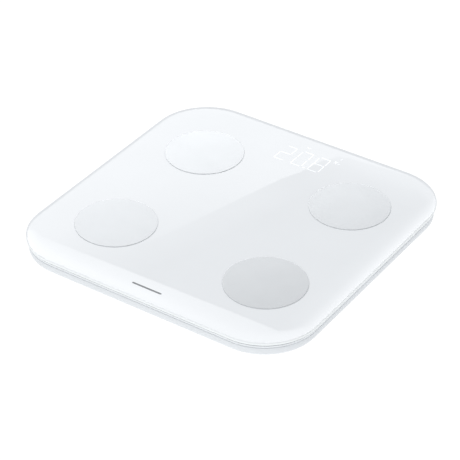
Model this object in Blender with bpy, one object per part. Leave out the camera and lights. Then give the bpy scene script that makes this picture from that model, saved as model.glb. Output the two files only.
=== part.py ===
"""Square glass bathroom scale with four foot electrodes, four load-cell feet and a battery compartment.

The frame is +Z up with the origin on the floor at the middle of the scale. The user stands at -Y
and reads the display near +Y. Lengths are in metres; MM turns millimetres into metres.
Run it with: blender --background --python part.py
"""

import math

import bmesh
import bpy
from mathutils import Vector

MM = 0.001

# Driving dimensions: the platform and the stack of layers, from the floor up.
SIDE = 300 * MM
CORNER_RADIUS = 54 * MM
CORNER_STEPS = 8
UNDERSIDE_Z = 4.0 * MM
FLOOR_Z = 6.0 * MM
TRAY_RIM_Z = 16.5 * MM
TRAY_PLATE_Z = 17.7 * MM
TRAY_TOP_Z = 19.4 * MM
GLASS_Z = 20.0 * MM
GLASS_TOP_Z = 23.5 * MM
TAPE_INSETS = (5 * MM, 12 * MM)
TAPE_GAP = 0.1 * MM
PIECE_GAP = 0.3 * MM

# Sections of the platform's layers: (inset from the platform's edge, height) pairs in millimetres.
GLASS_SECTION = [(12, 23.5), (6.5, 23.41), (1.0, 23.15), (0.3, 22.8), (0, 22.2), (0, 20.6), (0.6, 20.0)]
TRAY_OUTSIDE = [(4.2, 19.4), (4.2, 18.2), (1.9, 18.2), (1.7, 18.0), (1.7, 16.5)]
TRAY_INSIDE = [(3.2, 16.5), (3.2, 17.3), (6.0, 17.3), (6.0, 17.7)]
BASE_OUTSIDE = [(14, 4.0), (10.5, 4.45), (7, 5.6), (4, 7.7), (2.5, 9.2), (2.0, 10.6), (1.7, 16.0)]
BASE_TONGUE = [(3.5, 16.0), (3.5, 17.0), (4.7, 17.0), (4.7, 14.0)]
BASE_INSIDE = [(4.2, 10.2), (7.5, 7.6), (14, 6.0)]

# Sections of the turned pieces: (radius, height) pairs in millimetres.
ELECTRODE_DISC = [(0, 24.0), (37.5, 24.0), (38.0, 23.75), (38.0, 23.6)]
ELECTRODE_STUD = [(2.0, 23.6), (2.0, 14.5), (0, 14.5)]
CARRIER_POCKET = [(0, 2.6), (15.9, 2.6), (15.9, 1.4), (17.0, 1.4), (17.4, 1.8)]
CARRIER_FLANGE = [(17.4, 6.3), (19.4, 6.3), (19.4, 7.2)]
CARRIER_PIN = [(4.2, 7.2), (4.2, 8.6), (2.0, 8.6), (2.0, 11.4), (0, 11.4)]
FOOT_PAD = [(0, 0), (14.6, 0), (15.4, 0.6), (15.4, 2.3), (0, 2.3)]
SCREW_HEAD = [(0, 4.6), (2.2, 4.6), (2.9, 5.2), (2.9, 6.2)]
SCREW_SHANK = [(1.3, 6.2), (1.3, 15.6), (0, 16.2)]
BUTTON = [(0, 4.4), (3.6, 4.4), (4.0, 4.8), (4.0, 6.3), (5.4, 6.3), (5.4, 6.9), (0, 6.9)]

# Electrodes on the glass.
ELECTRODE_X = 80.8 * MM
ELECTRODE_Y = 70.4 * MM
GLASS_DRILL_RADIUS = 3.5 * MM
TRAY_DRILL_RADIUS = 2.6 * MM
NUT_Z = (15.4 * MM, 17.4 * MM)
NUT_RADII = (4.0 * MM, 2.4 * MM)

# Feet and load cells, one at each corner.
FOOT_OFFSET = 107 * MM
FOOT_HOLE_RADIUS = 18.2 * MM
FOOT_STEPS = 20
CELL_HALF = 18 * MM
CELL_Z = 9.2 * MM
CELL_TOP_Z = 11.2 * MM
BRACKET_TOP_Z = 13.5 * MM
WELL_INNER_HALF = 20.2 * MM
WELL_WALL = 1.5 * MM
WELL_TOP_Z = 13.2 * MM
CELL_TONGUE_SLOT = [(-9, 11), (-9, -11), (9, -11), (9, 11), (7, 11), (7, -9), (-7, -9), (-7, 11)]

# Fasteners that hold the base shell to the tray.
SCREW_PLACES = [(-62, -126), (62, -126), (-128, 0), (128, 0), (-62, 126), (62, 126)]
COUNTERBORE = (3.3 * MM, 6.4 * MM)
SCREW_HOLE = (1.8 * MM, 12.5 * MM)

# Ribs that stiffen the tray and the base shell.
RIB_HALF = 0.8 * MM
RIB_X = (-60 * MM, 60 * MM)
BASE_RIB_TOP_Z = 9.0 * MM

# Battery compartment: four AAA cells side by side, their axes along X.
TUB_Y = -5 * MM
TUB_HALF_X = 25.5 * MM
TUB_HALF_Y = 21.8 * MM
TUB_WALL = 2.0 * MM
TUB_TOP_Z = 17.5 * MM
CELL_PITCH = 10.8 * MM
BATTERY_RADIUS = 5.15 * MM
BATTERY_LENGTH = 44.5 * MM
BATTERY_Z = 11.1 * MM
CONTACT_X = 25.2 * MM
CONTACT_THICKNESS = 0.5 * MM
COVER_HALF_X = 28.7 * MM
COVER_HALF_Y = 24.7 * MM
COVER_TOP_Z = 5.5 * MM
COVER_CORNER = 3 * MM
HINGE_TAB_X = 16 * MM
LATCH_HALF_X = 6.5 * MM

# Display and electronics near the rear edge.
BOARD_HALF_X = 48 * MM
BOARD_Y = (88 * MM, 137 * MM)
BOARD_Z = 11.4 * MM
BOARD_TOP_Z = 13.0 * MM
STANDOFFS = [(-44, 92), (44, 92), (-44, 132), (44, 132)]
GUIDE_HALF_X = 39 * MM
GUIDE_Y = (97.5 * MM, 135.5 * MM)
GUIDE_TOP_Z = 19.0 * MM
FILM_Z = (19.25 * MM, 19.65 * MM)
DIGIT_Y = 113 * MM
DIGIT_X = 2.4 * MM
DIGIT_PITCH = 18.6 * MM
DIGIT_WIDTH = 11.3 * MM
DIGIT_HEIGHT = 24 * MM
SEGMENT_WIDTH = 1.5 * MM
BUTTON_Y = 92 * MM
BUTTON_RADIUS = 4.0 * MM

# Leads to the board, as points in millimetres. The corner routes are for the right-hand side, keyed
# by the sign of y: -1 for the front corners and 1 for the rear ones.
LEAD_RADIUS = 0.8 * MM
CELL_ROUTES = {
    -1: [
        (88.6, -107, 10.2),
        (78, -104, 10.2),
        (70, -92, 10.2),
        (67, -50, 10.2),
        (66, 10, 10.2),
        (60, 60, 10.2),
        (46, 80, 10.2),
        (30, 93, 10.2),
    ],
    1: [(88.6, 107, 10.2), (78, 106.5, 10.2), (66, 101, 10.2), (56, 98, 10.2), (38, 98, 10.2)],
}
ELECTRODE_ROUTES = {
    -1: [
        (80.8, -70.4, 13.4),
        (70, -58, 13.4),
        (54, -30, 13.4),
        (48, 10, 13.4),
        (46, 50, 13.4),
        (39, 80, 13.7),
        (30, 93, 14.1),
    ],
    1: [(80.8, 70.4, 13.4), (72, 75, 13.4), (58, 81, 13.6), (46, 86.5, 14.1), (37, 92.5, 14.1)],
}
NEGATIVE_ROUTE = [
    (30.3, -21.2, 13.2),
    (34, -10, 12.4),
    (37, 20, 11),
    (34, 60, 10.2),
    (24, 84, 10.2),
    (23, 94, 10.2),
]
POSITIVE_ROUTE = [(30.3, 11.2, 13.2), (32, 22, 12), (30, 50, 10.6), (19, 80, 10.2), (16, 94, 10.2)]

SMALL_STEPS = 10
WHITE = (0.90, 0.92, 0.94)


def material(name, colour, roughness, metallic=0.0):
    """A Principled material of one colour, made once for each name."""
    found = bpy.data.materials.get(name)
    if found:
        return found
    made = bpy.data.materials.new(name)
    made.use_nodes = True
    made.diffuse_color = (*colour, 1.0)
    shader = made.node_tree.nodes["Principled BSDF"]
    shader.inputs["Base Color"].default_value = (*colour, 1.0)
    shader.inputs["Roughness"].default_value = roughness
    shader.inputs["Metallic"].default_value = metallic
    return made


def mesh_from(bm, name):
    """The mesh that a bmesh holds, with its faces pointing out. The bmesh is freed."""
    bmesh.ops.recalc_face_normals(bm, faces=bm.faces)
    mesh = bpy.data.meshes.new(name)
    bm.to_mesh(mesh)
    bm.free()
    return mesh


def place(name, mesh, finish, location=(0, 0, 0), turn=0.0, parent=None):
    """A named object in the scene for this mesh, at a location and turned about Z."""
    made = bpy.data.objects.new(name, mesh)
    bpy.context.scene.collection.objects.link(made)
    if not mesh.materials:
        mesh.materials.append(finish)
    made.location = location
    made.rotation_euler = (0, 0, turn)
    made.parent = parent
    mesh.shade_smooth()
    mesh.set_sharp_from_angle(angle=math.radians(30))
    return made


def helper(name, bm):
    """A hidden object for Boolean modifiers to use."""
    made = bpy.data.objects.new(name, mesh_from(bm, name))
    bpy.context.scene.collection.objects.link(made)
    made.hide_render = True
    made.display_type = "WIRE"
    return made


def boolean(target, tool, operation):
    """Joins the tool to the target, or cuts it away, with a Boolean modifier."""
    modifier = target.modifiers.new(tool.name, "BOOLEAN")
    modifier.operation = operation
    modifier.object = tool


def rounded_rectangle(half_x, half_y, radius, steps=3, centre=(0, 0)):
    """Points round a rectangle with round corners, anticlockwise, as (x, y)."""
    points = []
    for quarter, (sx, sy) in enumerate([(1, 1), (-1, 1), (-1, -1), (1, -1)]):
        for step in range(steps + 1):
            angle = math.pi / 2 * (quarter + step / steps)
            points.append(
                (
                    centre[0] + sx * (half_x - radius) + radius * math.cos(angle),
                    centre[1] + sy * (half_y - radius) + radius * math.sin(angle),
                )
            )
    return points


def circle(radius, steps):
    """Points round a circle, anticlockwise, as (x, y)."""
    angles = [2 * math.pi * i / steps for i in range(steps)]
    return [(radius * math.cos(a), radius * math.sin(a)) for a in angles]


def platform_outline(inset):
    """The platform's outline, moved in by inset."""
    half = SIDE / 2 - inset
    return rounded_rectangle(half, half, CORNER_RADIUS - inset, CORNER_STEPS)


def add_loft(bm, rings, closed=False):
    """Joins (points, z) rings in order. The ends are capped, or joined to each other if closed."""
    loops = [[bm.verts.new((x, y, z)) for x, y in points] for points, z in rings]
    count = len(loops[0])
    pairs = list(zip(loops, loops[1:]))
    if closed:
        pairs.append((loops[-1], loops[0]))
    else:
        bm.faces.new(loops[0])
        bm.faces.new(loops[-1])
    for low, high in pairs:
        for i in range(count):
            j = (i + 1) % count
            bm.faces.new((low[i], low[j], high[j], high[i]))


def add_box(bm, low, high):
    """A box from its lowest corner to its highest."""
    outline = [(low[0], low[1]), (high[0], low[1]), (high[0], high[1]), (low[0], high[1])]
    add_loft(bm, [(outline, low[2]), (outline, high[2])])


def add_frame(bm, outer, inner, low_z, high_z):
    """A flat ring between two outlines with the same number of points."""
    add_loft(bm, [(outer, low_z), (outer, high_z), (inner, high_z), (inner, low_z)], closed=True)


def add_lathe(bm, profile, steps, centre=(0, 0)):
    """Turns an (r, z) profile about a vertical axis. A radius of 0 is a point on the axis."""
    loops = []
    for r, z in profile:
        if r == 0:
            loops.append([bm.verts.new((centre[0], centre[1], z))])
            continue
        angles = [2 * math.pi * i / steps for i in range(steps)]
        loops.append(
            [
                bm.verts.new((centre[0] + r * math.cos(a), centre[1] + r * math.sin(a), z))
                for a in angles
            ]
        )
    for low, high in zip(loops, loops[1:]):
        for i in range(steps):
            corners = [
                low[i % len(low)],
                low[(i + 1) % len(low)],
                high[(i + 1) % len(high)],
                high[i % len(high)],
            ]
            bm.faces.new(list(dict.fromkeys(corners)))


def add_cylinder(bm, centre, radius, low_z, high_z, steps=SMALL_STEPS):
    add_lathe(bm, [(0, low_z), (radius, low_z), (radius, high_z), (0, high_z)], steps, centre)


def in_mm(pairs):
    """Pairs of lengths, given in millimetres, in metres."""
    return [(a * MM, b * MM) for a, b in pairs]


def corner_signs():
    """Each corner's name and the signs of its x and y."""
    return [
        ("front_left", -1, -1),
        ("front_right", 1, -1),
        ("rear_left", -1, 1),
        ("rear_right", 1, 1),
    ]


def build_glass():
    """Tempered glass with a softly crowned edge, drilled for the electrodes' studs."""
    bm = bmesh.new()
    add_loft(bm, [(platform_outline(inset), z) for inset, z in in_mm(GLASS_SECTION)])
    white_glass = material("white_glass", WHITE, 0.05)
    glass = place("glass_platform", mesh_from(bm, "glass_platform"), white_glass)
    drill = bmesh.new()
    for _, sx, sy in corner_signs():
        centre = (sx * ELECTRODE_X, sy * ELECTRODE_Y)
        add_cylinder(drill, centre, GLASS_DRILL_RADIUS, GLASS_Z - 1 * MM, GLASS_TOP_Z + 1 * MM)
    boolean(glass, helper("glass_drill", drill), "DIFFERENCE")

    tape = bmesh.new()
    outer, inner = (platform_outline(inset) for inset in TAPE_INSETS)
    add_frame(tape, outer, inner, TRAY_TOP_Z + TAPE_GAP, GLASS_Z - TAPE_GAP)
    foam = material("foam_tape", (0.75, 0.77, 0.78), 0.9)
    place("glass_tape", mesh_from(tape, "glass_tape"), foam)


def build_electrodes():
    """Steel discs bonded to the glass, each with a stud through it and a nut under the tray."""
    bm = bmesh.new()
    add_lathe(bm, in_mm(ELECTRODE_DISC + ELECTRODE_STUD), 32)
    disc_mesh = mesh_from(bm, "electrode")
    nut = bmesh.new()
    outer, inner = (circle(radius, 6) for radius in NUT_RADII)
    add_frame(nut, outer, inner, *NUT_Z)
    nut_mesh = mesh_from(nut, "electrode_nut")
    steel = material("satin_steel", (0.78, 0.80, 0.82), 0.35, 0.9)
    zinc = material("zinc_steel", (0.70, 0.71, 0.72), 0.4, 1.0)
    for name, sx, sy in corner_signs():
        centre = (sx * ELECTRODE_X, sy * ELECTRODE_Y, 0)
        place("electrode_" + name, disc_mesh, steel, centre)
        place("electrode_nut_" + name, nut_mesh, zinc, centre)


def build_tray():
    """The plastic tray that carries the glass: a plate with a skirt, bosses, ribs and pressure pads."""
    bm = bmesh.new()
    add_loft(bm, [(platform_outline(inset), z) for inset, z in in_mm(TRAY_OUTSIDE + TRAY_INSIDE)])
    tray = place("top_tray", mesh_from(bm, "top_tray"), material("white_plastic", WHITE, 0.4))

    lower = TRAY_PLATE_Z + 0.2 * MM
    posts = bmesh.new()
    for x, y in SCREW_PLACES:
        add_cylinder(posts, (x * MM, y * MM), 3.5 * MM, 12.0 * MM, lower)
    for _, sx, sy in corner_signs():
        centre = (sx * FOOT_OFFSET, sy * FOOT_OFFSET)
        outer = rounded_rectangle(19 * MM, 19 * MM, 6 * MM, 2, centre)
        inner = rounded_rectangle(15 * MM, 15 * MM, 4 * MM, 2, centre)
        add_frame(posts, outer, inner, BRACKET_TOP_Z + PIECE_GAP, lower)
    boolean(tray, helper("tray_posts", posts), "UNION")

    ribs_y = bmesh.new()
    for x in RIB_X:
        add_box(ribs_y, (x - RIB_HALF, -115 * MM, TRAY_RIM_Z), (x + RIB_HALF, 80 * MM, lower))
    boolean(tray, helper("tray_ribs_along_y", ribs_y), "UNION")
    ribs_x = bmesh.new()
    for y in (-60 * MM, 45 * MM):
        add_box(ribs_x, (-115 * MM, y - RIB_HALF, TRAY_RIM_Z), (115 * MM, y + RIB_HALF, lower))
    boolean(tray, helper("tray_ribs_along_x", ribs_x), "UNION")

    cuts = bmesh.new()
    for x, y in SCREW_PLACES:
        add_cylinder(cuts, (x * MM, y * MM), 1.5 * MM, 11 * MM, 16.6 * MM)
    for _, sx, sy in corner_signs():
        centre = (sx * ELECTRODE_X, sy * ELECTRODE_Y)
        add_cylinder(cuts, centre, TRAY_DRILL_RADIUS, 16 * MM, TRAY_TOP_Z + 1 * MM)
    add_box(
        cuts,
        (-GUIDE_HALF_X - 1 * MM, GUIDE_Y[0] - 1 * MM, 16 * MM),
        (GUIDE_HALF_X + 1 * MM, GUIDE_Y[1] + 1 * MM, TRAY_TOP_Z + 1 * MM),
    )
    boolean(tray, helper("tray_cuts", cuts), "DIFFERENCE")


def build_base():
    """The base shell: a shallow dish with foot wells, screw bosses, ribs and the battery tub."""
    section = in_mm(BASE_OUTSIDE + BASE_TONGUE + BASE_INSIDE)
    bm = bmesh.new()
    add_loft(bm, [(platform_outline(inset), z) for inset, z in section])
    base = place("base_shell", mesh_from(bm, "base_shell"), material("white_plastic", WHITE, 0.4))

    sunk = FLOOR_Z - 0.5 * MM
    posts = bmesh.new()
    for x, y in SCREW_PLACES:
        add_cylinder(posts, (x * MM, y * MM), 4.2 * MM, sunk, 11.7 * MM)
    for _, sx, sy in corner_signs():
        centre = (sx * FOOT_OFFSET, sy * FOOT_OFFSET)
        half = WELL_INNER_HALF + WELL_WALL
        outer = rounded_rectangle(half, half, 8 * MM, 2, centre)
        inner = rounded_rectangle(WELL_INNER_HALF, WELL_INNER_HALF, 6.5 * MM, 2, centre)
        add_frame(posts, outer, inner, sunk, WELL_TOP_Z)
    for x, y in STANDOFFS:
        profile = [(0, sunk), (2.6 * MM, sunk), (2.6 * MM, BOARD_Z - PIECE_GAP)]
        pin = [(1.3 * MM, BOARD_Z - PIECE_GAP), (1.3 * MM, 13.6 * MM), (0, 13.6 * MM)]
        add_lathe(posts, profile + pin, SMALL_STEPS, (x * MM, y * MM))
    boolean(base, helper("base_posts", posts), "UNION")

    reach = 120 * MM
    ribs_y = bmesh.new()
    for x in RIB_X:
        add_box(ribs_y, (x - RIB_HALF, -reach, sunk), (x + RIB_HALF, reach, BASE_RIB_TOP_Z))
    boolean(base, helper("base_ribs_along_y", ribs_y), "UNION")
    ribs_x = bmesh.new()
    for y in (-60 * MM, 50 * MM):
        add_box(ribs_x, (-reach, y - RIB_HALF, sunk), (reach, y + RIB_HALF, BASE_RIB_TOP_Z))
    boolean(base, helper("base_ribs_along_x", ribs_x), "UNION")

    pad = bmesh.new()
    add_box(pad, (-31 * MM, -35 * MM, UNDERSIDE_Z + 1 * MM), (31 * MM, 31 * MM, 7.3 * MM))
    boolean(base, helper("battery_pad", pad), "UNION")
    tub = bmesh.new()
    tub_x = TUB_HALF_X + TUB_WALL
    tub_y = TUB_HALF_Y + TUB_WALL
    add_box(tub, (-tub_x, TUB_Y - tub_y, sunk), (tub_x, TUB_Y + tub_y, TUB_TOP_Z))
    boolean(base, helper("battery_tub", tub), "UNION")
    cut_base(base)


def cut_base(base):
    """Every opening in the base shell."""
    below = UNDERSIDE_Z - 1 * MM
    tub = bmesh.new()
    add_box(
        tub,
        (-TUB_HALF_X, TUB_Y - TUB_HALF_Y, below),
        (TUB_HALF_X, TUB_Y + TUB_HALF_Y, TUB_TOP_Z - 0.5 * MM),
    )
    boolean(base, helper("battery_space", tub), "DIFFERENCE")

    recess = bmesh.new()
    half_x = COVER_HALF_X + PIECE_GAP
    half_y = COVER_HALF_Y + PIECE_GAP
    outline = rounded_rectangle(half_x, half_y, COVER_CORNER, 3, (0, TUB_Y))
    add_loft(recess, [(outline, below), (outline, COVER_TOP_Z + PIECE_GAP)])
    boolean(base, helper("cover_recess", recess), "DIFFERENCE")

    slots = bmesh.new()
    front = TUB_Y - COVER_HALF_Y
    for x in (-HINGE_TAB_X, HINGE_TAB_X):
        add_box(
            slots,
            (x - 4.6 * MM, front - 3.6 * MM, 4.9 * MM),
            (x + 4.6 * MM, front + 4 * MM, 8.4 * MM),
        )
    boolean(base, helper("hinge_slots", slots), "DIFFERENCE")

    cuts = bmesh.new()
    for _, sx, sy in corner_signs():
        centre = (sx * FOOT_OFFSET, sy * FOOT_OFFSET)
        add_cylinder(cuts, centre, FOOT_HOLE_RADIUS, below, 7 * MM, FOOT_STEPS)
        notch_x = sx * (FOOT_OFFSET - WELL_INNER_HALF)
        add_box(
            cuts,
            (notch_x - 2.5 * MM, centre[1] - 2 * MM, 9 * MM),
            (notch_x + 2.5 * MM, centre[1] + 2 * MM, 14 * MM),
        )
    for x, y in SCREW_PLACES:
        counterbore = [(0, below), (COUNTERBORE[0], below), COUNTERBORE]
        hole = [(SCREW_HOLE[0], COUNTERBORE[1]), SCREW_HOLE, (0, SCREW_HOLE[1])]
        add_lathe(cuts, counterbore + hole, SMALL_STEPS, (x * MM, y * MM))
    add_cylinder(cuts, (0, BUTTON_Y), BUTTON_RADIUS + PIECE_GAP, below, 7 * MM, 16)
    finger = rounded_rectangle(9 * MM, 4.5 * MM, 4 * MM, 3, (0, 23 * MM))
    add_loft(cuts, [(finger, below), (finger, 6.2 * MM)])
    for n in (0, 3):
        y = battery_y(n)
        add_box(cuts, (25 * MM, y - 1.8 * MM, 12.2 * MM), (28 * MM, y + 1.8 * MM, 14.3 * MM))
    boolean(base, helper("base_cuts", cuts), "DIFFERENCE")


def build_feet():
    """Each foot: a load cell, the bracket over it, a carrier that presses on it and a rubber pad."""
    cell_bm = bmesh.new()
    add_loft(
        cell_bm,
        [(rounded_rectangle(CELL_HALF, CELL_HALF, 3 * MM, 2), z) for z in (CELL_Z, CELL_TOP_Z)],
    )
    cell_mesh = mesh_from(cell_bm, "load_cell")
    slot = bmesh.new()
    u_shape = in_mm(CELL_TONGUE_SLOT)
    add_loft(slot, [(u_shape, CELL_Z - 1 * MM), (u_shape, CELL_TOP_Z + 1 * MM)])
    add_cylinder(slot, (0, 0), 2.4 * MM, CELL_Z - 1 * MM, CELL_TOP_Z + 1 * MM)

    bracket_bm = bmesh.new()
    add_frame(
        bracket_bm,
        rounded_rectangle(19.8 * MM, 19.8 * MM, 6 * MM, 2),
        rounded_rectangle(14.5 * MM, 14.5 * MM, 4 * MM, 2),
        CELL_TOP_Z + PIECE_GAP,
        BRACKET_TOP_Z,
    )
    bracket_mesh = mesh_from(bracket_bm, "cell_bracket")

    carrier_bm = bmesh.new()
    add_lathe(carrier_bm, in_mm(CARRIER_POCKET + CARRIER_FLANGE + CARRIER_PIN), FOOT_STEPS)
    carrier_mesh = mesh_from(carrier_bm, "foot_carrier")
    pad_bm = bmesh.new()
    add_lathe(pad_bm, in_mm(FOOT_PAD), FOOT_STEPS)
    pad_mesh = mesh_from(pad_bm, "foot_pad")

    steel = material("cell_steel", (0.62, 0.64, 0.66), 0.4, 1.0)
    plastic = material("white_plastic", WHITE, 0.4)
    rubber = material("grey_rubber", (0.55, 0.56, 0.57), 0.85)
    cutter = helper("load_cell_slots", slot)
    for name, sx, sy in corner_signs():
        centre = (sx * FOOT_OFFSET, sy * FOOT_OFFSET, 0)
        turn = 0 if sy < 0 else math.pi
        cell = place("load_cell_" + name, cell_mesh, steel, centre, turn)
        own_cutter = cutter.copy()
        own_cutter.name = "load_cell_slots_" + name
        own_cutter.location = centre
        own_cutter.rotation_euler = (0, 0, turn)
        bpy.context.scene.collection.objects.link(own_cutter)
        boolean(cell, own_cutter, "DIFFERENCE")
        place("cell_bracket_" + name, bracket_mesh, plastic, centre)
        carrier = place("foot_carrier_" + name, carrier_mesh, plastic, centre)
        place("foot_pad_" + name, pad_mesh, rubber, (0, 0, 0), parent=carrier)
    bpy.data.objects.remove(cutter)


def build_screws():
    """Self-tapping screws, head down in the base shell's counterbores."""
    bm = bmesh.new()
    add_lathe(bm, in_mm(SCREW_HEAD + SCREW_SHANK), SMALL_STEPS)
    mesh = mesh_from(bm, "body_screw")
    zinc = material("zinc_steel", (0.70, 0.71, 0.72), 0.4, 1.0)
    for number, (x, y) in enumerate(SCREW_PLACES, 1):
        place(f"body_screw_{number}", mesh, zinc, (x * MM, y * MM, 0))


def segment_boxes(centre_x, lit):
    """The boxes (x0, y0, x1, y1) of a seven-segment digit's bars, for the segments named in lit."""
    half_w = DIGIT_WIDTH / 2
    half_h = DIGIT_HEIGHT / 2
    t = SEGMENT_WIDTH / 2
    clear = 1.2 * MM
    rows = {"a": half_h, "g": 0.0, "d": -half_h}
    columns = {"b": (half_w, 1), "c": (half_w, -1), "e": (-half_w, -1), "f": (-half_w, 1)}
    boxes = []
    for key in lit:
        if key in rows:
            y = DIGIT_Y + rows[key]
            boxes.append((centre_x - half_w + clear, y - t, centre_x + half_w - clear, y + t))
        else:
            dx, side = columns[key]
            x = centre_x + dx
            ends = sorted((DIGIT_Y + side * clear, DIGIT_Y + side * (half_h - clear)))
            boxes.append((x - t, ends[0], x + t, ends[1]))
    return boxes


def build_electronics():
    """The circuit board with its chips, the display's light guide and diffuser, and the push switch."""
    board_bm = bmesh.new()
    add_box(
        board_bm,
        (-BOARD_HALF_X, BOARD_Y[0], BOARD_Z),
        (BOARD_HALF_X, BOARD_Y[1], BOARD_TOP_Z),
    )
    green = material("circuit_green", (0.05, 0.25, 0.14), 0.5)
    board = place("main_board", mesh_from(board_bm, "main_board"), green)
    chips = bmesh.new()
    sunk = BOARD_TOP_Z - 0.2 * MM
    add_box(chips, (-16 * MM, 89 * MM, sunk), (-9 * MM, 96 * MM, BOARD_TOP_Z + 1.0 * MM))
    add_box(chips, (4 * MM, 89 * MM, sunk), (20 * MM, 96.5 * MM, BOARD_TOP_Z + 1.6 * MM))
    add_box(chips, (-5 * MM, 90.5 * MM, sunk), (-1 * MM, 94.5 * MM, BOARD_TOP_Z + 0.8 * MM))
    boolean(board, helper("board_chips", chips), "UNION")
    holes = bmesh.new()
    for x, y in STANDOFFS:
        add_cylinder(holes, (x * MM, y * MM), 1.7 * MM, 10 * MM, 15 * MM)
    boolean(board, helper("board_holes", holes), "DIFFERENCE")

    guide_bm = bmesh.new()
    low_z = BOARD_TOP_Z + PIECE_GAP
    add_box(
        guide_bm,
        (-GUIDE_HALF_X, GUIDE_Y[0], low_z),
        (GUIDE_HALF_X, GUIDE_Y[1], GUIDE_TOP_Z),
    )
    guide_white = material("guide_white", (0.9, 0.9, 0.9), 0.6)
    guide = place("display_light_guide", mesh_from(guide_bm, "display_light_guide"), guide_white)
    slots = bmesh.new()
    boxes = segment_boxes(DIGIT_X - 2 * DIGIT_PITCH, "bc")
    for place_in_row in (-1, 0, 1):
        boxes += segment_boxes(DIGIT_X + place_in_row * DIGIT_PITCH, "abcdefg")
    for x0, y0, x1, y1 in boxes:
        add_box(slots, (x0, y0, low_z - 1 * MM), (x1, y1, GUIDE_TOP_Z + 1 * MM))
    boolean(guide, helper("guide_slots", slots), "DIFFERENCE")

    film = bmesh.new()
    add_box(film, (-GUIDE_HALF_X, GUIDE_Y[0], FILM_Z[0]), (GUIDE_HALF_X, GUIDE_Y[1], FILM_Z[1]))
    milky = material("diffuser_film", (0.93, 0.94, 0.95), 0.7)
    place("display_diffuser", mesh_from(film, "display_diffuser"), milky)

    switch_bm = bmesh.new()
    add_box(
        switch_bm,
        (-3 * MM, BUTTON_Y - 3 * MM, 8.1 * MM),
        (3 * MM, BUTTON_Y + 3 * MM, BOARD_Z - PIECE_GAP),
    )
    black = material("black_plastic", (0.05, 0.05, 0.05), 0.5)
    switch = place("push_switch", mesh_from(switch_bm, "push_switch"), black)
    plunger = bmesh.new()
    add_cylinder(plunger, (0, BUTTON_Y), 1.6 * MM, 7.7 * MM, 9 * MM)
    boolean(switch, helper("switch_plunger", plunger), "UNION")

    button = bmesh.new()
    add_lathe(button, in_mm(BUTTON), 16)
    grey = material("button_grey", (0.62, 0.64, 0.66), 0.5)
    place("mode_button", mesh_from(button, "mode_button"), grey, (0, BUTTON_Y, 0))


def battery_y(number):
    """Where cell number 0 to 3 lies across the compartment."""
    return TUB_Y + (number - 1.5) * CELL_PITCH


def build_battery_cover():
    """The cover, hinged on two tabs at its front edge; its origin is on that hinge line."""
    front = TUB_Y - COVER_HALF_Y
    bm = bmesh.new()
    outline = rounded_rectangle(COVER_HALF_X, COVER_HALF_Y, COVER_CORNER, 3, (0, COVER_HALF_Y))
    thickness = COVER_TOP_Z - UNDERSIDE_Z
    add_loft(bm, [(outline, 0), (outline, thickness)])
    cover = place(
        "battery_cover",
        mesh_from(bm, "battery_cover"),
        material("white_plastic", WHITE, 0.4),
        (0, front, UNDERSIDE_Z),
    )
    tabs = bmesh.new()
    for x in (-HINGE_TAB_X, HINGE_TAB_X):
        add_box(tabs, (x - 4 * MM, -2.9 * MM, 1.2 * MM), (x + 4 * MM, 3 * MM, 2.1 * MM))
    tab_tool = helper("cover_tabs", tabs)
    tab_tool.parent = cover
    boolean(cover, tab_tool, "UNION")
    slits = bmesh.new()
    rear = 2 * COVER_HALF_Y
    for x in (-LATCH_HALF_X, LATCH_HALF_X):
        add_box(slits, (x - 0.5 * MM, rear - 9 * MM, -1 * MM), (x + 0.5 * MM, rear + 1 * MM, 3 * MM))
    slit_tool = helper("latch_slits", slits)
    slit_tool.parent = cover
    boolean(cover, slit_tool, "DIFFERENCE")


def build_batteries():
    """Four AAA cells, laid head to tail, and the contacts that join them in series."""
    half = BATTERY_LENGTH / 2
    shell = [(0, -half), (4.7 * MM, -half), (BATTERY_RADIUS, -half + 0.5 * MM)]
    shoulder = [(BATTERY_RADIUS, half - 1.6 * MM), (4.6 * MM, half - 1.1 * MM)]
    nub = [(1.9 * MM, half - 1.1 * MM), (1.9 * MM, half), (0, half)]
    bm = bmesh.new()
    add_lathe(bm, shell + shoulder + nub, 16)
    mesh = mesh_from(bm, "battery")
    jacket = material("battery_jacket", (0.22, 0.24, 0.27), 0.35, 0.4)
    forward = CONTACT_X - CONTACT_THICKNESS - PIECE_GAP - half
    for n in range(4):
        direction = -1 if n % 2 == 0 else 1
        made = place(f"battery_{n + 1}", mesh, jacket, (direction * forward, battery_y(n), BATTERY_Z))
        made.rotation_euler = (0, direction * math.pi / 2, 0)

    nickel = material("nickel", (0.75, 0.74, 0.70), 0.3, 1.0)
    build_contact("contact_bridge_front", -1, (0, 1), 1, nickel)
    build_contact("contact_bridge_rear", -1, (2, 3), 3, nickel)
    build_contact("contact_bridge_middle", 1, (1, 2), 2, nickel)
    build_contact("contact_negative", 1, (0,), 0, nickel, tab=True)
    build_contact("contact_positive", 1, (3,), None, nickel, tab=True)


def build_contact(name, side, cells, sprung, finish, tab=False):
    """A contact plate at one end of the compartment, with a coil spring for the cell sprung."""
    low_y = battery_y(cells[0]) - 4.2 * MM
    high_y = battery_y(cells[-1]) + 4.2 * MM
    inner = side * (CONTACT_X - CONTACT_THICKNESS)
    outer = side * CONTACT_X
    bm = bmesh.new()
    add_box(bm, (min(inner, outer), low_y, 6.8 * MM), (max(inner, outer), high_y, 15.4 * MM))
    plate = place(name, mesh_from(bm, name), finish)
    if tab:
        y = (low_y + high_y) / 2
        tool = bmesh.new()
        add_box(tool, (inner + 0.1 * MM, y - 1.4 * MM, 12.5 * MM), (29.2 * MM, y + 1.4 * MM, 14 * MM))
        boolean(plate, helper(name + "_tab", tool), "UNION")
    if sprung is not None:
        tool = bmesh.new()
        add_coil(tool, (inner + side * 0.25 * MM, battery_y(sprung), BATTERY_Z), -side)
        boolean(plate, helper(name + "_coil", tool), "UNION")


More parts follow.
